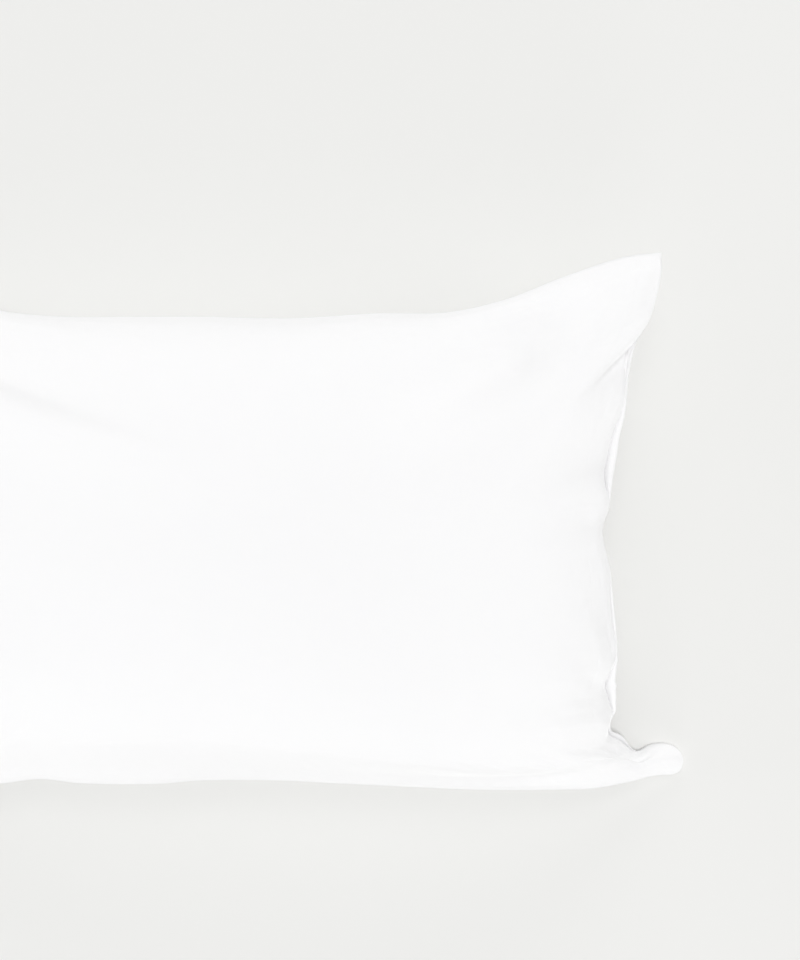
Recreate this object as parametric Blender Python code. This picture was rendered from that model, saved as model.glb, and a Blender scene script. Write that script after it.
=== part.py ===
"""A filled pillowcase lying on its back on a flat surface.

The case is one length of cloth: it is folded at its closed end, turned in at its mouth and sewn
along both long sides.  It is modelled as it lies over its filling, as one closed solid: a crowned
front, a back that is flat where it rests, drawn-in sides, four ears and a mouth where the fold of
the front stands over the hem of the back.

Frame: +X along the case towards its mouth, +Y across it, +Z up.  The origin is on the
flat patch that the case rests on, below the middle of its length and width.
"""

import bmesh
import bpy
import numpy as np

MM = 0.001

# Driving dimensions, in metres
CROWN_HEIGHT = 0.172  # the highest point of the front above the surface
FULLNESS_ALONG = 2.16  # how far the level middle of the front reaches towards both ends
FULLNESS_ACROSS = 1.72  # and towards both long sides
STEEPNESS_ALONG = 0.64  # how steeply the front rises from the ends: 0.5 is an ellipse, 1 a parabola
STEEPNESS_ACROSS = 0.54  # and from the long sides
REST_SHARE = 0.84  # the share of the crown at which the back has come down flat
SEAM_THICKNESS = 2.4 * MM  # two layers and the turned edge between them
MOUTH_GROOVE_DEPTH = 12 * MM  # how far the slit runs in between the front's fold and the hem
MOUTH_SLIT = 4.5 * MM  # how wide that slit stands open at its lip
HEM_THICKNESS = 2.4 * MM
# The lower ear by the mouth is pinched from above where it leaves the case: at this x, this far to
# both sides of it, by this much, growing between these two y.
NECK_X = 345 * MM
NECK_HALF_WIDTH = 8.5 * MM
NECK_PINCH = 7.5 * MM
NECK_FROM_Y = -212 * MM
NECK_TO_Y = -192 * MM

# Cells of the grid that each panel is laid out on, and how much finer they are at the edges
CELLS_ALONG = 56
CELLS_ACROSS = 42
EDGE_REFINEMENT = 0.5
CURVE_STEPS = 600  # straight steps that stand for a curve when its length is measured

CLOTH_COLOUR = (0.93, 0.93, 0.94, 1.0)
CLOTH_ROUGHNESS = 0.85

# The four edges of the case as points on smooth curves, in millimetres: both long sides from the
# closed end to the mouth, and both ends from the lower side to the upper one.
EDGE_COLUMNS = ("x", "y", "z")
UPPER_SIDE = (
    (-366, 262, 60),
    (-344, 256, 62),
    (-304, 236, 70),
    (-250, 218, 79),
    (-195, 213, 83),
    (-120, 213, 85),
    (-60, 213, 86),
    (20, 213, 87),
    (100, 216, 87),
    (164, 217, 86),
    (219, 229, 85),
    (270, 250, 85),
    (328, 269, 87),
    (361, 273, 88),
)
LOWER_SIDE = (
    (-352, -206, 40),
    (-300, -220, 50),
    (-251, -217, 58),
    (-214, -214, 61),
    (-177, -217, 62),
    (-103, -217, 63),
    (-65, -215, 63),
    (9, -215, 63),
    (60, -217, 63),
    (120, -220, 62),
    (195, -223, 60),
    (270, -223, 54),
    (301, -224, 46),
    (334, -221, 32),
    (354, -217, 23),
    (369, -215, 18),
    (382, -215, 15),
    (390, -204, 14),
)
CLOSED_END = (
    (-352, -206, 40),
    (-346, -170, 54),
    (-334, -112, 70),
    (-328, -38, 76),
    (-328, 44, 78),
    (-334, 142, 76),
    (-352, 214, 68),
    (-366, 262, 60),
)
# The mouth also says how far the hem of the back stands out past the fold of the front.
MOUTH_COLUMNS = (*EDGE_COLUMNS, "hem")
MOUTH_END = (
    (390, -204, 14, 0),
    (386, -194, 14, 0),
    (369, -187, 18, 0),
    (348, -187, 24, 0),
    (337, -187, 31, 4),
    (328, -182, 38, 6),
    (315, -173, 48, 4),
    (316, -160, 58, 1),
    (316, -148, 63, 6),
    (311, -133, 68, 10),
    (312, -121, 70, 9),
    (319, -106, 73, 3),
    (320, -92, 72, 2),
    (317, -70, 73, 3),
    (315, -47, 74, 3),
    (314, -19, 76, 1),
    (309, 0, 77, 0),
    (306, 15, 76, 0),
    (313, 36, 77, 1),
    (314, 45, 78, 1),
    (310, 58, 76, 7),
    (309, 68, 75, 9),
    (312, 86, 77, 9),
    (317, 107, 80, 7),
    (323, 123, 82, 5),
    (329, 150, 86, 2),
    (333, 178, 89, 3),
    (339, 193, 91, 0),
    (350, 212, 92, 0),
    (357, 236, 92, 0),
    (361, 256, 91, 0),
    (361, 273, 88, 0),
)

# The main folds of the front.  Each runs from its strong end to where it has died away; "rise" is
# the height of a ridge or, below zero, the depth of a trough, and "bow" bends its line to the left.
FOLD_COLUMNS = ("from_x", "from_y", "to_x", "to_y", "half_width", "rise", "bow")
FRONT_FOLDS = (
    (345, 250, 150, 30, 30, 9, 6),  # ridge from the ear by the mouth
    (268, 222, 70, 108, 34, -10, 10),  # trough beside that ridge
    (342, 186, 262, 116, 12, -7, 0),  # crease under the ear
    (-345, 190, 40, 78, 30, -10, -22),  # long trough from the ear of the closed end
    (-350, 232, -90, 150, 34, 6, -14),  # ridge over that trough
    (-340, -176, -180, -60, 34, 7, 0),  # ridge from the lower ear of the closed end
    (336, -186, 236, -120, 26, 6, 0),  # ridge from the lower ear by the mouth
    (318, -150, 250, -146, 12, -5, 0),  # pucker at the lower slit
    (312, 18, 240, 14, 14, -5, 0),  # pucker at the middle of the mouth
    (312, 66, 252, 84, 12, -4, 0),  # pucker at the upper slit
)


def smooth_step(value, low, high):
    """0 below low, 1 above high and an even turn between them."""
    t = np.clip((value - low) / (high - low), 0, 1)
    return t * t * (3 - 2 * t)


def curve_through(table, shares):
    """Rows on the smooth curve through the table's rows, at these shares of the curve's length.

    Between two rows runs the cubic that leaves each row along the mean of its two chords.
    """
    place = slice(len(EDGE_COLUMNS))
    point = np.array(table, float)
    run = np.sqrt(np.linalg.norm(np.diff(point[:, place], axis=0), axis=1))[:, None]
    slope = np.diff(point, axis=0) / run
    inner = (slope[:-1] * run[1:] + slope[1:] * run[:-1]) / (run[1:] + run[:-1])
    tangent = np.concatenate([slope[:1], inner, slope[-1:]])
    start = np.concatenate([[0], np.cumsum(run)])
    at = np.linspace(0, start[-1], CURVE_STEPS + 1)
    k = np.clip(np.searchsorted(start, at, side="right") - 1, 0, len(run) - 1)
    t = ((at - start[k]) / run[k, 0])[:, None]
    curve = (
        (1 + 2 * t) * (1 - t) ** 2 * point[k]
        + t * (1 - t) ** 2 * run[k] * tangent[k]
        + t**2 * (3 - 2 * t) * point[k + 1]
        + t**2 * (t - 1) * run[k] * tangent[k + 1]
    )
    steps = np.linalg.norm(np.diff(curve[:, place], axis=0), axis=1)
    length = np.concatenate([[0], np.cumsum(steps)])
    return np.stack([np.interp(shares * length[-1], length, column) for column in curve.T], axis=-1)


def shares_along(cells):
    """Grid lines from 0 to 1, closer together towards both ends."""
    even = np.linspace(-1, 1, cells + 1)
    return (1 + (1 - EDGE_REFINEMENT) * even + EDGE_REFINEMENT * np.sin(even * np.pi / 2)) / 2


def middle_surface(u, v):
    """The surface that the four edges span: the sum of both ruled surfaces less that of the corners."""
    lower, upper = curve_through(LOWER_SIDE, u), curve_through(UPPER_SIDE, u)
    closed, mouth = curve_through(CLOSED_END, v), curve_through(MOUTH_END, v)[:, : len(EDGE_COLUMNS)]
    u, v = u[:, None, None], v[None, :, None]
    lengthwise = (1 - u) * closed[None] + u * mouth[None]
    crosswise = (1 - v) * lower[:, None] + v * upper[:, None]
    corners = (1 - u) * ((1 - v) * lower[0] + v * upper[0]) + u * ((1 - v) * lower[-1] + v * upper[-1])
    return (lengthwise + crosswise - corners) * MM


def crown_share(u, v):
    """0 at the edges and 1 in the middle: a power of how far a point is from both pairs of edges."""
    from_ends = np.clip(1 - np.abs(2 * u - 1) ** FULLNESS_ALONG, 0, 1) ** STEEPNESS_ALONG
    from_sides = np.clip(1 - np.abs(2 * v - 1) ** FULLNESS_ACROSS, 0, 1) ** STEEPNESS_ACROSS
    return from_ends[:, None] * from_sides[None, :]


def fold_heights(x, y):
    """The rise of every fold added up at these places, each a bell across its line."""
    total = np.zeros_like(x)
    for row in FRONT_FOLDS:
        fold = dict(zip(FOLD_COLUMNS, row))
        start = np.array([fold["from_x"], fold["from_y"]]) * MM
        run = np.array([fold["to_x"], fold["to_y"]]) * MM - start
        length = np.hypot(*run)
        ahead = run / length
        t = ((x - start[0]) * ahead[0] + (y - start[1]) * ahead[1]) / length
        inside = np.clip(t, 0, 1)
        line = fold["bow"] * MM * 4 * inside * (1 - inside)
        aside = (y - start[1]) * ahead[0] - (x - start[0]) * ahead[1] - line
        strength = smooth_step(t, -0.10, 0.15) * (1 - smooth_step(t, 0.35, 1.0))
        total += fold["rise"] * MM * strength * np.exp(-((aside / (fold["half_width"] * MM)) ** 2))
    return total


def panels(u, v):
    """The points of the front and of the back, on the same grid."""
    middle = middle_surface(u, v)
    share = crown_share(u, v)
    seam_height = middle[..., 2]
    folds = fold_heights(middle[..., 0], middle[..., 1]) * smooth_step(share, 0.0, 0.35)
    front, back = middle.copy(), middle.copy()
    front[..., 2] += SEAM_THICKNESS / 2 + (CROWN_HEIGHT - seam_height) * share + folds
    back[..., 2] = (seam_height - SEAM_THICKNESS / 2) * (1 - np.clip(share / REST_SHARE, 0, 1)) ** 3
    return front, back


def mouth_rings(front_edge, back_edge, v):
    """The rows between the front's fold and the back: the bottom of the slit and both hem edges."""
    hem = curve_through(MOUTH_END, v)[:, [MOUTH_COLUMNS.index("hem")]] * MM
    opened = (smooth_step(v, 0, 0.07) * (1 - smooth_step(v, 0.80, 1)))[:, None]
    along = np.gradient(front_edge, axis=0)
    outward = np.stack([along[:, 1], -along[:, 0], np.zeros(len(v))], axis=-1)
    outward /= np.linalg.norm(outward, axis=1, keepdims=True)
    down = np.array([0, 0, -1.0])
    drop = back_edge - front_edge
    slit = front_edge + drop / 3 + opened * (down * MOUTH_SLIT / 2 - outward * MOUTH_GROOVE_DEPTH)
    hem_top = front_edge + drop * 2 / 3 + opened * (down * MOUTH_SLIT + outward * hem)
    hem_under = back_edge + opened * (down * (MOUTH_SLIT + HEM_THICKNESS) + outward * hem)
    return slit, hem_top, hem_under


def pinch_neck(points):
    """Draws the neck of the lower ear by the mouth in from above."""
    x, y = points[..., 0], points[..., 1]
    beside = np.exp(-(((x - NECK_X) / NECK_HALF_WIDTH) ** 2))
    points[..., 1] -= NECK_PINCH * beside * smooth_step(y, NECK_FROM_Y, NECK_TO_Y) * (y < 0)


def vertices_of(mesh, points):
    """Adds the grid's points as vertices and returns them in the same rows and columns."""
    return [[mesh.verts.new(point) for point in row] for row in points]


def add_panels(mesh, front, back):
    for i in range(CELLS_ALONG):
        for j in range(CELLS_ACROSS):
            mesh.faces.new((front[i][j], front[i + 1][j], front[i + 1][j + 1], front[i][j + 1]))
            mesh.faces.new((back[i][j], back[i][j + 1], back[i + 1][j + 1], back[i + 1][j]))


def add_sewn_sides(mesh, front, back, slit, hem_top):
    """The thin faces along both long sides, whose last one also meets the mouth's rows."""
    for i in range(CELLS_ALONG):
        at_mouth = i == CELLS_ALONG - 1
        for j in (0, CELLS_ACROSS):
            rows = [hem_top[j], slit[j]] if at_mouth else []
            mesh.faces.new((front[i][j], back[i][j], back[i + 1][j], *rows, front[i + 1][j]))


def add_ends(mesh, front, back, slit, hem_top):
    """The folded edge of the closed end, and the strips of the mouth from the fold to the hem."""
    mouth = (front[-1], slit, hem_top, back[-1])
    for upper, lower in [(front[0], back[0]), *zip(mouth, mouth[1:])]:
        for j in range(CELLS_ACROSS):
            mesh.faces.new((upper[j], lower[j], lower[j + 1], upper[j + 1]))


def build_case():
    u, v = shares_along(CELLS_ALONG), shares_along(CELLS_ACROSS)
    front_points, back_points = panels(u, v)
    slit_points, hem_top_points, hem_under_points = mouth_rings(front_points[-1], back_points[-1], v)
    back_points[-1] = hem_under_points
    for points in (front_points, back_points, slit_points, hem_top_points):
        pinch_neck(points)
    mesh = bmesh.new()
    front, back = vertices_of(mesh, front_points), vertices_of(mesh, back_points)
    slit, hem_top = vertices_of(mesh, [slit_points, hem_top_points])
    add_panels(mesh, front, back)
    add_sewn_sides(mesh, front, back, slit, hem_top)
    add_ends(mesh, front, back, slit, hem_top)
    bmesh.ops.triangulate(mesh, faces=mesh.faces[:])
    bmesh.ops.recalc_face_normals(mesh, faces=mesh.faces[:])
    data = bpy.data.meshes.new("pillowcase")
    mesh.to_mesh(data)
    mesh.free()
    data.shade_smooth()
    case = bpy.data.objects.new("pillowcase", data)
    bpy.context.scene.collection.objects.link(case)
    return case


def cloth_material():
    material = bpy.data.materials.new("white_cotton")
    material.use_nodes = True
    shader = material.node_tree.nodes["Principled BSDF"]
    shader.inputs["Base Color"].default_value = CLOTH_COLOUR
    shader.inputs["Roughness"].default_value = CLOTH_ROUGHNESS
    shader.inputs["Metallic"].default_value = 0.0
    return material


def main():
    for leftover in list(bpy.data.objects):
        bpy.data.objects.remove(leftover, do_unlink=True)
    case = build_case()
    case.data.materials.append(cloth_material())


main()
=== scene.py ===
"""A filled white cotton pillowcase lying on its back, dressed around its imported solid.

The case is one length of cloth, folded at its closed end, sewn along both long sides and turned in
at its mouth.  Both panels start as crowned surfaces between four edges close to the solid's.  A
cloth simulation then lets the flat-cut panels fill out, so that the spare cloth gathers by itself.
The main folds, the puckers of the seams, and the turned edge and hem of the mouth are laid on that.

Frame: +X along the case towards its mouth, +Y across it, +Z up, in metres.
"""

import math

import bpy
import numpy as np
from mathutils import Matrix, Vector


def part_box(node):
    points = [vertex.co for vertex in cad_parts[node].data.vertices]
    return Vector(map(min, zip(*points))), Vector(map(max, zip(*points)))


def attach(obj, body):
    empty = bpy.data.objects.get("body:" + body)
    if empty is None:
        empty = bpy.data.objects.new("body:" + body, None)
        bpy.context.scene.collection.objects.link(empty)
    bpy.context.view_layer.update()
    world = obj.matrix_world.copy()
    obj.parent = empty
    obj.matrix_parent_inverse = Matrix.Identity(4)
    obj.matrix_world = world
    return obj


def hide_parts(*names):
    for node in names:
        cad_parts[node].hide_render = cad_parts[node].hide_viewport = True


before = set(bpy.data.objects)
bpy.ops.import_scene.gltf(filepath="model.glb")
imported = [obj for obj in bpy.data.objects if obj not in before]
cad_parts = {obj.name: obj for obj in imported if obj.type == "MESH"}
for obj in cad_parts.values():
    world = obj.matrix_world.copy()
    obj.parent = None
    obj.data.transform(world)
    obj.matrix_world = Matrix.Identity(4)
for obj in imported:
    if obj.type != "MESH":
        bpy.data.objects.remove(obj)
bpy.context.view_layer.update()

MM = 0.001

# ---------------------------------------------------------------------------------------------
# Sizes
# ---------------------------------------------------------------------------------------------

# One panel of the flat cut, from the closed end's fold to the mouth's, and from seam to seam
FLAT_LENGTH = 0.750
FLAT_WIDTH = 0.500
SEAM_THICKNESS = 2.4 * MM

# The crown that both panels start from is the solid's, which its ridge tops by another 1.2 mm
CROWN_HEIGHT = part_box("pillowcase")[1].z - 1.2 * MM
START_SHARE = 0.86  # the share of the crown's height that the cloth starts at
CROWN_LIFT = 7 * MM  # what is added to the crown after the simulation
# How far its level middle reaches towards the ends and the long sides, and how steeply it rises
# from them: 0.5 is an ellipse and 1 a parabola
FULLNESS_ALONG, FULLNESS_ACROSS = 2.16, 1.72
STEEPNESS_ALONG, STEEPNESS_ACROSS = 0.64, 0.54
REST_SHARE = 0.84  # the share of the crown at which the back has come down flat
BACK_STEEPNESS = 3

# Cells of each panel's grid before it is refined to half their size
CELLS_ALONG = 126
CELLS_ACROSS = 84
EDGE_REFINEMENT = 0.35
MOUTH_REFINEMENT = 0.5
RIM_SHARE = 0.35  # where the line beside a seam lies in the first cell
CURVE_STEPS = 800  # straight steps that stand for a curve when its length is measured

# The front lies flatter beside the long seams: how wide each margin is, and how much of its rise the
# cloth keeps right at the seam.
LOWER_SEAM, UPPER_SEAM = 0, -1  # the lines of the grid that the long seams are
LOWER_MARGIN, UPPER_MARGIN = 48 * MM, 3 * MM
SEAM_RISE_SHARE = 0.62
# Ripples beside the long seams: the length of each wave, and its share of the height
SEAM_WAVES = ((17 * MM, 0.45), (26 * MM, 0.35), (41 * MM, 0.20))
SEAM_WAVE_HEIGHT = 0.5 * MM
SEAM_WAVE_REACH = 5 * MM  # how far from the seam they are highest
UPPER_SEAM_TURN = 1.3  # how far the upper seam's waves are ahead of the lower one's, in radians

# The four edges, in millimetres: long sides from the closed end to the mouth, and ends from the
# lower side to the upper one.  They follow the solid's, with the long seams up to 8 mm higher and
# the lower ear by the mouth about as much lower.
EDGE_COLUMNS = ("x", "y", "z")
UPPER_SIDE = (
    (-366, 262, 60),
    (-344, 256, 62),
    (-304, 236, 73),
    (-250, 220, 85),
    (-195, 214, 91),
    (-120, 213.5, 93),
    (-60, 213.5, 94),
    (20, 212, 95),
    (100, 216.5, 95),
    (164, 217.5, 94),
    (219, 230, 91),
    (270, 250, 88),
    (328, 269, 88),
    (361, 273, 88),
)
LOWER_SIDE = (
    (-352, -206, 40),
    (-300, -220, 52),
    (-251, -218.5, 63),
    (-214, -214, 67),
    (-177, -217.5, 69),
    (-103, -218, 70),
    (-65, -215, 70),
    (9, -215, 70),
    (60, -217.5, 70),
    (120, -220.5, 69),
    (195, -224, 66),
    (270, -225, 56),
    (301, -225, 46),
    (334, -221, 30),
    (354, -217, 18),
    (369, -216, 11),
    (380, -215.5, 8),
    (386.5, -212, 7),
    (389.5, -204, 7),
)
CLOSED_END = (
    (-352, -206, 40),
    (-346, -170, 54),
    (-334, -112, 70),
    (-328, -38, 76),
    (-328, 44, 78),
    (-334, 142, 76),
    (-352, 214, 68),
    (-366, 262, 60),
)
# The mouth also says how far the hem of the back stands out past the turned edge of the front, and
# how wide the slit between the two stands open.
MOUTH_COLUMNS = (*EDGE_COLUMNS, "hem", "gap")
MOUTH_END = (
    (389.5, -204, 7, 0, 0),
    (388, -196.5, 7, 0, 0),
    (381, -189.5, 8, 0, 0),
    (370, -186.5, 10, 0, 0),
    (358, -187, 11, 0, 0),
    (347, -187, 15, 0, 0),
    (337, -187, 23, 3, 2),
    (328, -182, 34, 5, 2),
    (315, -173, 48, 4, 1),
    (317, -160, 58, 0.5, 0),
    (318, -152, 62, 3.5, 2),
    (315, -145, 64, 6.5, 2),
    (313, -136, 67, 8.5, 2.2),
    (310, -127, 70, 11.5, 2),
    (314, -116, 72, 7, 1),
    (319, -106, 73, 3, 0),
    (320, -92, 72, 2, 1),
    (317, -70, 73, 3.5, 1),
    (315, -47, 74, 3, 1),
    (314, -19, 76, 1, 0),
    (310, 0, 77, 0, 0),
    (307.5, 15, 76, 0, 0),
    (309, 25, 76, 0, 0),
    (313, 36, 77, 1, 0),
    (314, 45, 78, 1, 0),
    (310, 58, 76, 7, 3),
    (309, 68, 75, 9, 3),
    (312, 86, 77, 9, 2),
    (317, 107, 80, 7, 1),
    (323, 123, 82, 5, 0),
    (328, 142, 85, 2, 0),
    (329, 160, 87, 2.5, 0),
    (332, 178, 89, 3, 1),
    (339, 193, 91, 0.5, 0),
    (350, 212, 92, 0, 0),
    (357, 236, 92, 0, 0),
    (361, 256, 91, 0, 0),
    (361, 273, 88, 0, 0),
)
# The mouth seen from its side, from the front's turned edge round to the back, in millimetres: how
# far each row lies outward of that edge, how many times the hem and the gap are added to it, how far
# the row lies below the edge, and how many times the gap is added to that.
MOUTH_PROFILE_COLUMNS = ("outward", "outward_by_hem", "outward_by_gap", "below", "below_by_gap")
MOUTH_PROFILE = (
    (0.3, 0, 0, 0.7, 0),
    (-0.4, 0, 0, 1.5, 0),
    (-2.0, 0, 0.2, 2.0, 0.6),
    (-4.5, 0, 1.2, 3.0, 1.3),
    (-2.5, 0, 1.2, 3.8, 0.6),
    (-1.0, 0.15, 0.85, 3.0, 0),
    (-0.7, 0.6, 0.4, 2.5, 0),
    (-0.5, 1, 0, 2.9, 0),
    (0.0, 1, 0, 3.7, 0),
    (-0.5, 1, 0, 4.6, 0),
)
HEM_DROP = 5 * MM  # how much lower the back's edge hangs where the mouth is open
HEM_BLEND = 34 * MM  # how far into the back the hem's shift dies away
MOUTH_ROW_STEP = 1.5 * MM  # the cloth between two of the mouth's rows, about
# The shares of its width between which the mouth opens beyond the lower ear, and those between
# which it closes towards the upper one
MOUTH_OPENS, MOUTH_CLOSES = (0.05, 0.11), (0.90, 1)

# The main folds of the front, near the solid's, in millimetres.  Each runs from its strong end to
# where it has died away.  "rise" is the height of a ridge or, below zero, the depth of a trough, and
# "bow" bends its line to the left.
FOLD_COLUMNS = ("from_x", "from_y", "to_x", "to_y", "left_width", "right_width", "rise", "bow")
FRONT_FOLDS = (
    (350, 250, 172, 12, 30, 30, 9, 6),  # ridge from the ear by the mouth
    (280, 216, 70, 84, 28, 38, -14, 6),  # trough beside that ridge
    (245, 178, 60, 124, 22, 30, -6, 0),  # hollow between that trough and the upper seam
    (-345, 186, 60, 48, 34, 44, -5, -20),  # long trough from the ear of the closed end
    (-345, 180, -60, 80, 9, 26, -3, -4.5),  # its sharper upper side
    (-345, 196, -60, 94, 24, 10, 4, -4.5),  # ridge over that trough
    (-340, -176, -180, -60, 34, 34, 7, 0),  # ridge from the lower ear of the closed end
    (336, -186, 236, -120, 26, 26, 6, 0),  # ridge from the lower ear by the mouth
    (318, -150, 272, -146, 10, 10, -2, 0),  # pucker at the lower slit
    (312, 18, 276, 22, 10, 10, -1.6, 0),  # pucker at the middle of the mouth
    (312, 66, 284, 76, 9, 9, -1.6, 0),  # pucker at the upper slit
)
# Small folds, in the same columns, which do not die away at the mouth's edge
EDGE_FOLDS = (
    (357, 209, 272, 126, 20, 2.2, -12, 0),  # recess under the ear by the mouth
    (352, 204, 282, 136, 2.6, 2.6, -6, 0),  # crease at the head of that recess
    (357, 209, 280, 134, 2.2, 24, 4, 0),  # the ear's cloth that stands over that crease
    (348, 262, 333, 205, 8, 12, 3, 0),  # the turned ear
    (398, -203, 335, -202, 14, 14, 4.5, 0),  # filling in the lower ear
    (324, -192, 304, -182, 2.5, 4, -2.5, 0),  # fine fold beside the neck
    (318, -160, 305, -150, 3, 3, -2.5, 0),  # fine fold over the neck
)
# The shares of a fold's line between which it grows, and those between which it dies away
FOLD_GROWS, FOLD_DIES = (-0.10, 0.15), (0.35, 1.0)
MAIN_FOLD_SHARE = 0.35  # the share of the crown from which the main folds have their full height
SEAM_FOLD_SHARE = 0.03  # the share of the width from a seam from which the small ones have theirs

# The lower ear by the mouth is pinched from its upper side where it leaves the case: round which
# line, how far to each side of it and by how much, growing between these two places.
NECK_X, NECK_HALF_WIDTH, NECK_PINCH = 345 * MM, 9.5 * MM, 6.5 * MM
NECK_FROM_Y, NECK_TO_Y = -226 * MM, -188 * MM
# The same ear's underside lies on the surface: round which point, how far from it wholly and at
# all, and how far in from the long seam it comes down.
EAR_X, EAR_Y = 370 * MM, -203 * MM
EAR_REACH = (24 * MM, 60 * MM)
EAR_SIDE = 1.2 * MM

# ---------------------------------------------------------------------------------------------
# Curves, surfaces and meshes
# ---------------------------------------------------------------------------------------------


def smooth_step(value, low, high):
    """0 below low, 1 above high: three times the square of the way less twice its cube."""
    t = np.clip((value - low) / (high - low), 0, 1)
    return t * t * (3 - 2 * t)


def curve_through(table, shares):
    """Rows on the smooth curve through the table's rows, at these shares of the curve's length.

    Between two rows runs the cubic that leaves each row along the mean of its two chords, where the
    shorter one counts more: a chord's share of the curve is the square root of its length.
    """
    place = slice(len(EDGE_COLUMNS))
    point = np.array(table, float)
    run = np.sqrt(np.linalg.norm(np.diff(point[:, place], axis=0), axis=1))[:, None]
    slope = np.diff(point, axis=0) / run
    inner = (slope[:-1] * run[1:] + slope[1:] * run[:-1]) / (run[1:] + run[:-1])
    tangent = np.concatenate([slope[:1], inner, slope[-1:]])
    start = np.concatenate([[0], np.cumsum(run)])
    at = np.linspace(0, start[-1], CURVE_STEPS + 1)
    k = np.clip(np.searchsorted(start, at, side="right") - 1, 0, len(run) - 1)
    t = ((at - start[k]) / run[k, 0])[:, None]
    curve = (
        (1 + 2 * t) * (1 - t) ** 2 * point[k]
        + t * (1 - t) ** 2 * run[k] * tangent[k]
        + t**2 * (3 - 2 * t) * point[k + 1]
        + t**2 * (t - 1) * run[k] * tangent[k + 1]
    )
    steps = np.linalg.norm(np.diff(curve[:, place], axis=0), axis=1)
    length = np.concatenate([[0], np.cumsum(steps)])
    return np.stack([np.interp(shares * length[-1], length, column) for column in curve.T], axis=-1)


def shares_across(cells):
    """Grid lines from 0 to 1, closer together towards both ends.

    They are even shares from -1 to 1 mixed with the sines of as many right angles.
    """
    even = np.linspace(-1, 1, cells + 1)
    return (1 + (1 - EDGE_REFINEMENT) * even + EDGE_REFINEMENT * np.sin(even * np.pi / 2)) / 2


def shares_along(cells):
    """Grid lines from 0 to 1, closer together towards both ends and most of all towards the mouth.

    Added to each share is its square times what it lacks to 1, times MOUTH_REFINEMENT.
    """
    share = shares_across(cells)
    return share + MOUTH_REFINEMENT * share**2 * (1 - share)


def middle_surface(u, v):
    """The surface that the four edges span: the sum of both ruled surfaces less that of the corners."""
    lower, upper = curve_through(LOWER_SIDE, u), curve_through(UPPER_SIDE, u)
    closed, mouth = curve_through(CLOSED_END, v), curve_through(MOUTH_END, v)[:, : len(EDGE_COLUMNS)]
    u, v = u[:, None, None], v[None, :, None]
    lengthwise = (1 - u) * closed[None] + u * mouth[None]
    crosswise = (1 - v) * lower[:, None] + v * upper[:, None]
    corners = (1 - u) * ((1 - v) * lower[0] + v * upper[0]) + u * ((1 - v) * lower[-1] + v * upper[-1])
    return (lengthwise + crosswise - corners) * MM


def crown_share(u, v):
    """0 at the edges and 1 in the middle: the share from the ends times that from the long sides.

    Each is 1 less a power of how far a point is from the middle, and a power of that.  The inner
    powers are the fullnesses and the outer ones the steepnesses.
    """
    from_ends = np.clip(1 - np.abs(2 * u - 1) ** FULLNESS_ALONG, 0, 1) ** STEEPNESS_ALONG
    from_sides = np.clip(1 - np.abs(2 * v - 1) ** FULLNESS_ACROSS, 0, 1) ** STEEPNESS_ACROSS
    return from_ends[:, None] * from_sides[None, :]


def starting_panels(u, v, height_share):
    """Front and back on one grid: the middle surface raised to the crown, and lowered to the floor.

    The front gets the crown's share of the way up, and the back's height is multiplied by a power of
    1 less that share over REST_SHARE.
    """
    middle = middle_surface(u, v)
    share = crown_share(u, v)
    front, back = middle.copy(), middle.copy()
    front[..., 2] += (CROWN_HEIGHT - middle[..., 2]) * share * height_share
    back[..., 2] *= (1 - np.clip(share / REST_SHARE, 0, 1)) ** BACK_STEEPNESS
    return front, back


def fold_heights(x, y, folds):
    """The rise of every fold added up at these places, each a bell across its line.

    The bell is the exponential of minus the square of the way aside over its width.  That width may
    be greater on the left of the line than on its right, seen from where it starts, and the line
    bows as a parabola.
    """
    total = np.zeros_like(x)
    for row in folds:
        fold = dict(zip(FOLD_COLUMNS, row))
        start = np.array([fold["from_x"], fold["from_y"]]) * MM
        run = np.array([fold["to_x"], fold["to_y"]]) * MM - start
        length = np.hypot(*run)
        ahead = run / length
        t = ((x - start[0]) * ahead[0] + (y - start[1]) * ahead[1]) / length
        inside = np.clip(t, 0, 1)
        line = fold["bow"] * MM * 4 * inside * (1 - inside)
        aside = (y - start[1]) * ahead[0] - (x - start[0]) * ahead[1] - line
        width = np.where(aside > 0, fold["left_width"], fold["right_width"]) * MM
        strength = smooth_step(t, *FOLD_GROWS) * (1 - smooth_step(t, *FOLD_DIES))
        total += fold["rise"] * MM * strength * np.exp(-((aside / width) ** 2))
    return total


def quads_of(grid):
    """What a grid holds at the four corners of every cell, one row for each cell."""
    corners = (grid[:-1, :-1], grid[1:, :-1], grid[1:, 1:], grid[:-1, 1:])
    return np.stack(corners, axis=2).reshape(-1, 4, *grid.shape[2:])


def mesh_of(name, points, faces):
    """A new object in the scene with these points and faces."""
    data = bpy.data.meshes.new(name)
    data.from_pydata(points.tolist(), [], faces)
    data.update()
    thing = bpy.data.objects.new(name, data)
    bpy.context.scene.collection.objects.link(thing)
    return thing


def level_square(name, half_side, height):
    """A level square round the frame's origin, at this height."""
    corners = ((-1, -1), (1, -1), (1, 1), (-1, 1))
    points = np.array([(x * half_side, y * half_side, height) for x, y in corners])
    return mesh_of(name, points, [(0, 1, 2, 3)])


# ---------------------------------------------------------------------------------------------
# The cloth simulation
# ---------------------------------------------------------------------------------------------

SIM_FRAMES = 26
FILLING_PRESSURE = 4.0
PRESSURE_SHARES = (0.02, 0.30)  # the shares of the crown between which the pressure grows
PRESSURE_LEVELS = 10
CLOTH_CLEARANCE = 1 * MM  # kept clear round the cloth, and as much again round the floor
WORK_FLOOR_HALF_SIDE = 2
LARGEST_MOVE = 30 * MM
NO_LENGTH = 1e-9  # stands for 0 where a length divides


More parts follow.
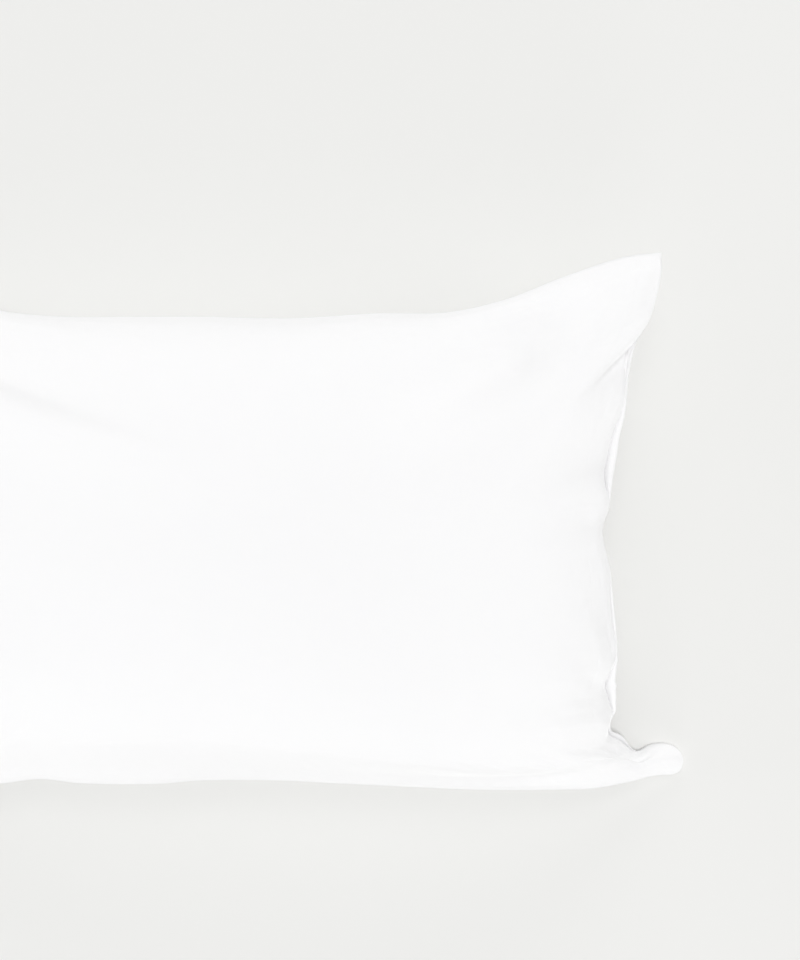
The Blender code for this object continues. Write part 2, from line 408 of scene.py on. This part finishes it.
def give_cotton_springs(case, flat_cut, held_edge, filled):
    """The cloth simulation's settings: light cotton, held at its edge and blown out where filled."""
    cloth = case.modifiers.new("cloth", "CLOTH")
    settings = cloth.settings
    settings.quality = 6
    settings.mass = 0.3
    settings.air_damping = 2.0
    settings.tension_stiffness = settings.compression_stiffness = 30
    settings.shear_stiffness = 5
    settings.bending_stiffness = 1.0
    settings.tension_damping = settings.compression_damping = 10
    settings.shear_damping = 5
    settings.bending_damping = 2
    settings.vertex_group_mass = held_edge.name
    settings.pin_stiffness = 1
    settings.rest_shape_key = flat_cut
    settings.use_pressure = True
    settings.uniform_pressure_force = FILLING_PRESSURE
    settings.vertex_group_pressure = filled.name
    settings.effector_weights.gravity = 0
    cloth.collision_settings.distance_min = CLOTH_CLEARANCE
    cloth.collision_settings.use_self_collision = False


def simulated_points(case):
    """Where the points of the cloth are after SIM_FRAMES frames."""
    for frame_number in range(1, SIM_FRAMES + 1):
        bpy.context.scene.frame_set(frame_number)
    result = case.evaluated_get(bpy.context.evaluated_depsgraph_get()).data
    moved = np.empty(len(result.vertices) * 3, np.float32)
    result.vertices.foreach_get("co", moved)
    return moved.reshape(-1, 3).astype(float)


def settled_panels(u, v, front, back):
    """Both panels after the filling has pressed them out, with their shared edges held in place.

    The springs take their lengths from the flat cut: share of the length times FLAT_LENGTH, and
    share of the width times FLAT_WIDTH.  No point moves by more than LARGEST_MOVE.
    """
    shape = front.shape[:2]
    inner = np.zeros(shape, bool)
    inner[1:-1, 1:-1] = True
    front_index = np.arange(inner.size).reshape(shape)
    back_index = front_index.copy()
    back_index[inner] = inner.size + np.arange(inner.sum())
    points = np.concatenate([front.reshape(-1, 3), back[inner]])
    flat_x = np.broadcast_to(u[:, None] * FLAT_LENGTH, shape)
    flat_y = np.broadcast_to(v[None, :] * FLAT_WIDTH, shape)
    flat = np.stack([flat_x, flat_y, np.zeros(shape)], axis=-1)
    flat = np.concatenate([flat.reshape(-1, 3), flat[inner]])
    faces = np.concatenate([quads_of(front_index), quads_of(back_index)[:, ::-1]])
    case = mesh_of("cloth_in_work", points, faces.tolist())
    case.shape_key_add(name="lying")
    cut = case.shape_key_add(name="flat_cut")
    cut.data.foreach_set("co", flat.astype(np.float32).ravel())
    held = case.vertex_groups.new(name="held_edge")
    held.add(front_index[~inner].tolist(), 1.0, "REPLACE")
    filled = case.vertex_groups.new(name="filled")
    fullness = smooth_step(crown_share(u, v), *PRESSURE_SHARES)
    for index in (front_index, back_index):
        for step in range(1, PRESSURE_LEVELS + 1):
            level = (fullness > (step - 1) / PRESSURE_LEVELS) & (fullness <= step / PRESSURE_LEVELS)
            filled.add(index[level].tolist(), step / PRESSURE_LEVELS, "REPLACE")
    floor = level_square("floor_in_work", WORK_FLOOR_HALF_SIDE, 0)
    floor.modifiers.new("collision", "COLLISION")
    floor.collision.thickness_outer = CLOTH_CLEARANCE
    give_cotton_springs(case, cut, held, filled)
    moved = simulated_points(case)
    for helper in (case, floor):
        data = helper.data
        bpy.data.objects.remove(helper, do_unlink=True)
        bpy.data.meshes.remove(data)
    bpy.context.scene.frame_set(1)
    step = moved - points
    distance = np.linalg.norm(step, axis=1, keepdims=True)
    moved = points + step * np.minimum(1, LARGEST_MOVE / np.maximum(distance, NO_LENGTH))
    return moved[front_index], moved[back_index]


# ---------------------------------------------------------------------------------------------
# The pillowcase
# ---------------------------------------------------------------------------------------------

CLOTH_MAP = "cut_cloth"
# The finest ripples: how many passes take them out
RIPPLE_PASSES = 8
CALM_SHARES = (0.1, 0.7)  # the shares of the crown at which none and all of them are taken out


def calmed(grid, share):
    """The grid with its finest ripples taken out, wholly in the middle and not at all at the edges.

    Each pass gives every line half of itself and a quarter of each neighbour, both ways.
    """
    smooth = grid.copy()
    for _ in range(RIPPLE_PASSES):
        smooth[1:-1] = (smooth[:-2] + 2 * smooth[1:-1] + smooth[2:]) / 4
        smooth[:, 1:-1] = (smooth[:, :-2] + 2 * smooth[:, 1:-1] + smooth[:, 2:]) / 4
    weight = smooth_step(share, *CALM_SHARES)[..., None]
    return grid + weight * (smooth - grid)


def refined(grid):
    """The grid with a new line halfway between each two, on the cubic through its four neighbours.

    That is 9 times both near lines less both far ones, over 16.
    """
    for _ in range(2):
        before = 2 * grid[:1] - grid[1:2]
        after = 2 * grid[-1:] - grid[-2:-1]
        padded = np.concatenate([before, grid, after])
        halfway = (9 * (padded[1:-2] + padded[2:-1]) - padded[:-3] - padded[3:]) / 16
        finer = np.empty((2 * len(grid) - 1, *grid.shape[1:]))
        finer[0::2] = grid
        finer[1::2] = halfway
        grid = np.swapaxes(finer, 0, 1)
    return grid


def refined_line(shares):
    """The same for one row of numbers, which is made a grid of two equal rows."""
    return refined(np.stack([shares, shares], axis=1))[:, 0]


def mouth_rows(edge, back_edge, outward, hem, gap, opened):
    """The rows of the mouth's profile, set out from the front's turned edge.

    Each lies outward and down by its own measures, with the hem and the gap added as often as the
    profile says.  Where the mouth is closed they lie evenly between that edge and the back's.
    """
    down = np.array([0, 0, -1.0])
    rows = []
    for k, row in enumerate(MOUTH_PROFILE, start=1):
        place = dict(zip(MOUTH_PROFILE_COLUMNS, row))
        reach = place["outward"] * MM + place["outward_by_hem"] * hem + place["outward_by_gap"] * gap
        drop = place["below"] * MM + place["below_by_gap"] * gap
        profile = edge + reach[:, None] * outward + drop[:, None] * down
        closed = edge + k / (len(MOUTH_PROFILE) + 1) * (back_edge - edge)
        rows.append(closed + opened[:, None] * (profile - closed))
    return rows


def outward_of(edge):
    """The level direction that points out of the case, square to its mouth's edge.

    It is the edge's run seen from above, turned clockwise by a right angle.
    """
    along = np.gradient(edge, axis=0)
    square = np.stack([along[:, 1], -along[:, 0], np.zeros(len(edge))], axis=-1)
    return square / np.linalg.norm(square, axis=1, keepdims=True)


def with_rims(grid):
    """The grid with one more line beside each of its long edges, so that the seams turn crisply.

    It lies RIM_SHARE of the way from the edge to the next line.
    """
    first = grid[:, :1] + RIM_SHARE * (grid[:, 1:2] - grid[:, :1])
    last = grid[:, -1:] + RIM_SHARE * (grid[:, -2:-1] - grid[:, -1:])
    return np.concatenate([grid[:, :1], first, grid[:, 1:-1], last, grid[:, -1:]], axis=1)


def way_from_seam(panel, seam):
    """How far each point lies from its own row's point on a long seam, seen from above."""
    across = panel - panel[:, [seam]]
    return np.hypot(across[..., 0], across[..., 1])


def flatten_at_seams(front):
    """Lays the cloth beside both long seams flatter, as the layers inside the seam hold it.

    The cloth's rise over its seam is multiplied by a share that grows from SEAM_RISE_SHARE at the
    seam to 1 at the width of the margin.
    """
    for seam, margin in ((LOWER_SEAM, LOWER_MARGIN), (UPPER_SEAM, UPPER_MARGIN)):
        seam_height = front[:, [seam], 2]
        way = smooth_step(way_from_seam(front, seam), 0, margin)
        keep = SEAM_RISE_SHARE + (1 - SEAM_RISE_SHARE) * way
        front[..., 2] = seam_height + keep * (front[..., 2] - seam_height)


def seam_ripples(panel):
    """Fine ripples square to both long seams, where the stitches draw the cloth in.

    Along a seam they are a sum of sines.  Away from it they grow to their full height at
    SEAM_WAVE_REACH and die away past it, as x times the exponential of 1 - x.
    """
    total = np.zeros(panel.shape[:2])
    for seam, turn in ((LOWER_SEAM, 0.0), (UPPER_SEAM, UPPER_SEAM_TURN)):
        along = panel[:, [seam], 0]
        wave = sum(share * np.sin(2 * np.pi * along / length + turn) for length, share in SEAM_WAVES)
        x = way_from_seam(panel, seam) / SEAM_WAVE_REACH
        total += SEAM_WAVE_HEIGHT * wave * x * np.exp(1 - x)
    return total


def pinch_neck(points):
    """Draws the neck of the lower ear by the mouth in from its upper side.

    A point is moved outwards by NECK_PINCH times a bell over x and a smooth step over y.
    """
    x, y = points[..., 0], points[..., 1]
    beside = np.exp(-(((x - NECK_X) / NECK_HALF_WIDTH) ** 2))
    points[..., 1] -= NECK_PINCH * beside * smooth_step(y, NECK_FROM_Y, NECK_TO_Y) * (y < 0)


def lay_ear_down(back):
    """Brings the underside of the lower ear by the mouth down to the surface.

    A share of its height is taken away: 1 round the ear's middle, dying away towards the case and,
    within EAR_SIDE, towards the long seam.
    """
    from_ear = np.hypot(back[..., 0] - EAR_X, back[..., 1] - EAR_Y)
    from_seam = smooth_step(way_from_seam(back, LOWER_SEAM), 0, EAR_SIDE)
    back[..., 2] *= 1 - (1 - smooth_step(from_ear, *EAR_REACH)) * from_seam


def lay_on_folds(front, back, u, v):
    """Adds the rest of the crown, the main and the small folds, and the puckers of the seams.

    The main folds die away towards all four edges, and the small ones towards the long seams alone.
    """
    share = crown_share(u, v)
    x, y = front[..., 0], front[..., 1]
    from_edges = smooth_step(share, 0.0, MAIN_FOLD_SHARE)
    from_seams = smooth_step(np.minimum(v, 1 - v), 0, SEAM_FOLD_SHARE)[None, :]
    front[..., 2] += CROWN_LIFT * share + fold_heights(x, y, FRONT_FOLDS) * from_edges
    front[..., 2] += fold_heights(x, y, EDGE_FOLDS) * from_seams
    flatten_at_seams(front)
    front[..., 2] += seam_ripples(front)
    back[..., 2] -= seam_ripples(back)


def keep_apart(front, back):
    """Where the panels are closer than SEAM_THICKNESS, each is moved by half of what is missing.

    The back is also let down by CLOTH_CLEARANCE, which takes back half of the room that the
    simulation leaves under it, but not below the floor.
    """
    spare = np.maximum(SEAM_THICKNESS - (front[..., 2] - back[..., 2]), 0) / 2
    front[..., 2] += spare
    back[..., 2] = np.maximum(back[..., 2] - spare - CLOTH_CLEARANCE, 0)


def open_mouth(front, back, u, v, edge_rise):
    """Lays the back's hem out under the front's turned edge, and gives the rows between the two.

    The back is moved outwards by the hem, down by HEM_DROP and up by what the folds have raised the
    front's edge, times a share: 1 at the open mouth's edge and dying away over HEM_BLEND.  The lower
    ear's underside is laid down before the rows are set out.
    """
    mouth = curve_through(MOUTH_END, v)
    hem, gap = (mouth[:, MOUTH_COLUMNS.index(name)] * MM for name in ("hem", "gap"))
    opened = smooth_step(v, *MOUTH_OPENS) * (1 - smooth_step(v, *MOUTH_CLOSES))
    outward = outward_of(front[-1])
    from_mouth = (1 - u) * FLAT_LENGTH
    fade = (1 - smooth_step(from_mouth, 0, HEM_BLEND))[:, None, None] * opened[None, :, None]
    back += fade * (outward * hem[:, None] - np.array([0, 0, HEM_DROP]))
    back[..., 2] += fade[..., 0] * edge_rise
    lay_ear_down(back)
    return np.array(mouth_rows(front[-1], back[-1], outward, hem, gap, opened))


def flat_places(along, across):
    """A grid of places on the flat cut: so far along it, and so far across it."""
    return np.stack(np.meshgrid(along, across, indexing="ij"), axis=-1)


def sewn_case(front, back, rows, u, v):
    """Both panels and the mouth's rows as one closed mesh, with a map of the flat cut, in metres.

    On that map the cloth starts at the fold of the closed end.  The front runs up from there to its
    turned edge and on through the rows of the mouth, and the back runs down.
    """
    above = np.arange(front[..., 0].size).reshape(front.shape[:2])
    below = above + above.size
    between = 2 * above.size + np.arange(rows[..., 0].size).reshape(rows.shape[:2])
    points = np.concatenate([front.reshape(-1, 3), back.reshape(-1, 3), rows.reshape(-1, 3)])
    pinch_neck(points)
    along, across = u * FLAT_LENGTH, v * FLAT_WIDTH
    turning = FLAT_LENGTH + MOUTH_ROW_STEP * np.arange(len(rows) + 2)
    seam = np.array([-SEAM_THICKNESS, 0])
    mouth_edge = np.concatenate([above[-1:], between, below[-1:]])
    lower_seam = np.stack([below[:, 0], above[:, 0]], axis=1)
    upper_seam = np.stack([above[:, -1], below[:, -1]], axis=1)
    closed_end = np.stack([below[0], above[0]])
    strips = [
        (above, flat_places(along, across)),
        (below[:, ::-1], flat_places(-along, across[::-1])),
        (lower_seam, flat_places(along, seam)),
        (upper_seam, flat_places(along, FLAT_WIDTH - seam[::-1])),
        (closed_end, flat_places(seam, across)),
        (mouth_edge, flat_places(turning, across)),
    ]
    faces, flat = [], []
    for index, place in strips:
        faces += quads_of(index).tolist()
        flat.append(quads_of(place).reshape(-1, 2))
    # The mouth's rows end at both long seams in one face with many corners
    for seam_line, order in ((LOWER_SEAM, -1), (UPPER_SEAM, 1)):
        faces.append(mouth_edge[::order, seam_line].tolist())
        flat.append(flat_places(turning, across)[::order, seam_line])
    case = mesh_of("cotton_case", points, faces)
    case.data.uv_layers.new(name=CLOTH_MAP).data.foreach_set("uv", np.concatenate(flat).ravel())
    case.data.shade_smooth()
    return case


def build_case():
    """The whole case: panels blown out and made finer, folds and seams laid on, the mouth opened."""
    u, v = shares_along(CELLS_ALONG), shares_across(CELLS_ACROSS)
    front, back = starting_panels(u, v, START_SHARE)
    front, back = settled_panels(u, v, front, back)
    front = calmed(front, crown_share(u, v))
    front, back = refined(front), refined(back)
    u, v = refined_line(u), refined_line(v)
    edge_before = with_rims(front[-1:, :, 2])[0]
    lay_on_folds(front, back, u, v)
    front, back = with_rims(front), with_rims(back)
    v = with_rims(v[None, :])[0]
    keep_apart(front, back)
    rows = open_mouth(front, back, u, v, front[-1, :, 2] - edge_before)
    return sewn_case(front, back, rows, u, v)


# ---------------------------------------------------------------------------------------------
# Materials
# ---------------------------------------------------------------------------------------------

COTTON = (0.889, 0.888, 0.892, 1)
COTTON_SHADE = (0.872, 0.872, 0.878, 1)  # where its yarns are thin, in faint patches
PALE_FLOOR = (0.80, 0.80, 0.785, 1)

# Plain weave: one yarn over and one under, so that its pattern repeats every two yarns
YARN_PITCH = 0.26 * MM
KNUCKLE_HEIGHT = 0.010 * MM
# Uneven yarns and soft crumples, each a noise: its patches' size along and across, and its height
WARP_SLUBS = (26 * MM, 0.9 * MM, 0.022 * MM)
WEFT_SLUBS = (1.0 * MM, 20 * MM, 0.022 * MM)
CRUMPLES = (34 * MM, 26 * MM, 0.30 * MM)
SMALL_CRUMPLES = (9 * MM, 7 * MM, 0.045 * MM)
SLUB_DETAIL, CRUMPLE_DETAIL = 2.0, 3.0
# What the noises are multiplied by, and what is then added, for thin yarns, for patches and for the
# cotton's roughness
THIN_YARNS = (2.4, -0.9)
FAINT_PATCHES = (1.6, -0.4)
YARN_ROUGHNESS = (0.12, 0.84)
# The stitched hem
HEM_DEPTH = 24 * MM
STITCH_LENGTH = 3.2 * MM
STITCH_STEEPNESS = 3.0  # how sharply the thread comes up and goes down
STITCH_GROOVE, GROOVE_DEPTH = 1.6 * MM, 0.10 * MM
THREAD_WIDTH, THREAD_HEIGHT = 0.45 * MM, 0.10 * MM


def worked_out(tree, operation, *values, clamp=False):
    """One Math node.  Each value is a number or another node's output."""
    step = tree.nodes.new("ShaderNodeMath")
    step.operation = operation
    step.use_clamp = clamp
    for socket, value in zip(step.inputs, values):
        if isinstance(value, (int, float)):
            socket.default_value = value
        else:
            tree.links.new(value, socket)
    return step.outputs[0]


def cloth_noise(tree, place, size_along, size_across, detail):
    """A noise from 0 to 1 whose patches have this size on the flat cloth."""
    scaled = tree.nodes.new("ShaderNodeMapping")
    scaled.inputs["Scale"].default_value = (1 / size_along, 1 / size_across, 1)
    tree.links.new(place, scaled.inputs["Vector"])
    noise = tree.nodes.new("ShaderNodeTexNoise")
    noise.inputs["Scale"].default_value = 1.0
    noise.inputs["Detail"].default_value = detail
    noise.inputs["Roughness"].default_value = 0.5
    tree.links.new(scaled.outputs["Vector"], noise.inputs["Vector"])
    return noise.outputs["Fac"]


def stitched_hem(tree, along, across):
    """The hem's row of stitches on both panels: a shallow groove with a thread in it, in metres.

    Both are 1 less the distance from the row over their half width, squared.  The thread is
    multiplied by the sine of its stitches times STITCH_STEEPNESS, cut off below 0 and above 1.
    """
    from_mouth = worked_out(tree, "SUBTRACT", FLAT_LENGTH, worked_out(tree, "ABSOLUTE", along))
    away = worked_out(tree, "ABSOLUTE", worked_out(tree, "SUBTRACT", from_mouth, HEM_DEPTH))
    shapes = []
    for half_width, height in ((STITCH_GROOVE, -GROOVE_DEPTH), (THREAD_WIDTH, THREAD_HEIGHT)):
        share = worked_out(tree, "DIVIDE", away, half_width)
        near = worked_out(tree, "SUBTRACT", 1.0, share, clamp=True)
        shapes.append(worked_out(tree, "MULTIPLY", worked_out(tree, "POWER", near, 2.0), height))
    turn = worked_out(tree, "MULTIPLY", across, 2 * math.pi / STITCH_LENGTH)
    over = worked_out(tree, "SINE", turn)
    stitch = worked_out(tree, "MULTIPLY", over, STITCH_STEEPNESS, clamp=True)
    return worked_out(tree, "MULTIPLY_ADD", shapes[1], stitch, shapes[0])


def plain_weave(tree, along, across):
    """The yarns' knuckles, in metres: the sine along the cloth times the sine across it.

    Each sine makes half a wave over one yarn.
    """
    turns = [worked_out(tree, "MULTIPLY", way, math.pi / YARN_PITCH) for way in (along, across)]
    waves = [worked_out(tree, "SINE", turn) for turn in turns]
    return worked_out(tree, "MULTIPLY", worked_out(tree, "MULTIPLY", *waves), KNUCKLE_HEIGHT)


def cotton_material():
    """White percale: a plain weave of uneven yarns, softly crumpled, with a stitched hem.

    Every height is worked out in metres on the flat cloth and added up for one bump.
    """
    material = bpy.data.materials.new("white_cotton_percale")
    material.use_nodes = True
    tree = material.node_tree
    cloth = tree.nodes.new("ShaderNodeUVMap")
    cloth.uv_map = CLOTH_MAP
    place = cloth.outputs["UV"]
    axes = tree.nodes.new("ShaderNodeSeparateXYZ")
    tree.links.new(place, axes.inputs[0])
    along, across = axes.outputs["X"], axes.outputs["Y"]

    warp = cloth_noise(tree, place, *WARP_SLUBS[:2], SLUB_DETAIL)
    weft = cloth_noise(tree, place, *WEFT_SLUBS[:2], SLUB_DETAIL)
    crumples = cloth_noise(tree, place, *CRUMPLES[:2], CRUMPLE_DETAIL)
    small = cloth_noise(tree, place, *SMALL_CRUMPLES[:2], CRUMPLE_DETAIL)
    weave = plain_weave(tree, along, across)
    height = worked_out(tree, "ADD", weave, stitched_hem(tree, along, across))
    heights = ((warp, WARP_SLUBS), (weft, WEFT_SLUBS), (crumples, CRUMPLES), (small, SMALL_CRUMPLES))
    for noise, sizes in heights:
        height = worked_out(tree, "MULTIPLY_ADD", noise, sizes[2], height)
    bump = tree.nodes.new("ShaderNodeBump")
    bump.inputs["Strength"].default_value = 1.0
    bump.inputs["Distance"].default_value = 1.0
    tree.links.new(height, bump.inputs["Height"])

    # Thin places in the yarns and a faint patchiness turn the cotton a little greyer
    yarns = worked_out(tree, "MULTIPLY", worked_out(tree, "ADD", warp, weft), 0.5)
    thin = worked_out(tree, "MULTIPLY_ADD", yarns, *THIN_YARNS, clamp=True)
    patches = worked_out(tree, "MULTIPLY_ADD", crumples, *FAINT_PATCHES, clamp=True)
    shade = tree.nodes.new("ShaderNodeMix")
    shade.data_type = "RGBA"
    shade.inputs["A"].default_value = COTTON
    shade.inputs["B"].default_value = COTTON_SHADE
    tree.links.new(worked_out(tree, "MULTIPLY", thin, patches), shade.inputs["Factor"])
    roughness = worked_out(tree, "MULTIPLY_ADD", yarns, *YARN_ROUGHNESS)

    shader = tree.nodes["Principled BSDF"]
    shader.inputs["Specular IOR Level"].default_value = 0.2
    shader.inputs["Sheen Weight"].default_value = 0.6
    shader.inputs["Sheen Roughness"].default_value = 0.4
    tree.links.new(shade.outputs["Result"], shader.inputs["Base Color"])
    tree.links.new(roughness, shader.inputs["Roughness"])
    tree.links.new(bump.outputs["Normal"], shader.inputs["Normal"])
    return material


def floor_material():
    """The studio's pale, wholly matt floor."""
    material = bpy.data.materials.new("pale_floor")
    material.use_nodes = True
    shader = material.node_tree.nodes["Principled BSDF"]
    shader.inputs["Base Color"].default_value = PALE_FLOOR
    shader.inputs["Roughness"].default_value = 1.0
    shader.inputs["Specular IOR Level"].default_value = 0.0
    return material


# ---------------------------------------------------------------------------------------------
# Stage, lights and camera
# ---------------------------------------------------------------------------------------------

FLOOR_HALF_SIDE, FLOOR_HEIGHT = 30.0, -0.4 * MM
WORLD_STRENGTH = 0.56
# Each softbox: the compass bearing that it shines from with +Y as north, its elevation, its strength
# and how wide it looks from the case.  Angles are in degrees.
SOFTBOX_COLUMNS = ("name", "bearing", "elevation", "strength", "spread")
SOFTBOXES = (
    ("overhead", 0, 90, 1.07, 8),
    ("key", 0, 65, 0.22, 20),
    ("upper_bank", 0, 20, 0.35, 30),
    ("lower_bank", 180, 20, 0.17, 30),
    ("right_bank", 90, 20, 0.36, 30),
    ("left_wall", -90, 1, 0.94, 14),
    ("upper_wall", 0, 1, 0.26, 14),
    ("lower_wall", 180, 1, 1.0, 14),
)
CAMERA_PLACE = (0.1205, 0.0635, 2.69)
SENSOR_SIZE = 36  # in millimetres, as the lens is
# So far below the camera, about where the seams lie, the view's long side is so long
VIEW_DISTANCE, VIEW_LENGTH = 2.6, 0.8832


def add_floor():
    """A wide floor, a little under the case, so that no face of the case lies in it."""
    floor = level_square("floor", FLOOR_HALF_SIDE, FLOOR_HEIGHT)
    floor.data.materials.append(floor_material())


def add_softbox(name, bearing, elevation, strength, spread):
    """A wide, distant light that shines from this bearing and elevation, in degrees."""
    light = bpy.data.lights.new(name, "SUN")
    light.energy = strength
    light.angle = math.radians(spread)
    lamp = bpy.data.objects.new(name, light)
    bpy.context.scene.collection.objects.link(lamp)
    around, up = math.radians(bearing), math.radians(elevation)
    level = math.cos(up)
    towards = Vector((math.sin(around) * level, math.cos(around) * level, math.sin(up)))
    lamp.rotation_euler = towards.to_track_quat("Z", "Y").to_euler()


def add_lights():
    """An even white surround and the softboxes, shown without any grading of the tones."""
    world = bpy.data.worlds.new("studio")
    world.use_nodes = True
    background = world.node_tree.nodes["Background"]
    background.inputs["Color"].default_value = (1.0, 1.0, 1.0, 1)
    background.inputs["Strength"].default_value = WORLD_STRENGTH
    bpy.context.scene.world = world
    for row in SOFTBOXES:
        add_softbox(**dict(zip(SOFTBOX_COLUMNS, row)))
    bpy.context.scene.view_settings.view_transform = "Standard"


def add_camera():
    """A camera straight above the case, looking down."""
    data = bpy.data.cameras.new("camera")
    camera = bpy.data.objects.new("camera", data)
    bpy.context.scene.collection.objects.link(camera)
    data.sensor_width = SENSOR_SIZE
    data.lens = SENSOR_SIZE * VIEW_DISTANCE / VIEW_LENGTH
    camera.location = CAMERA_PLACE
    bpy.context.scene.camera = camera


def main():
    """Builds the case and its stage."""
    case = build_case()
    case.data.materials.append(cotton_material())
    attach(case, "root")
    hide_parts("pillowcase")
    add_floor()
    add_lights()
    add_camera()


main()
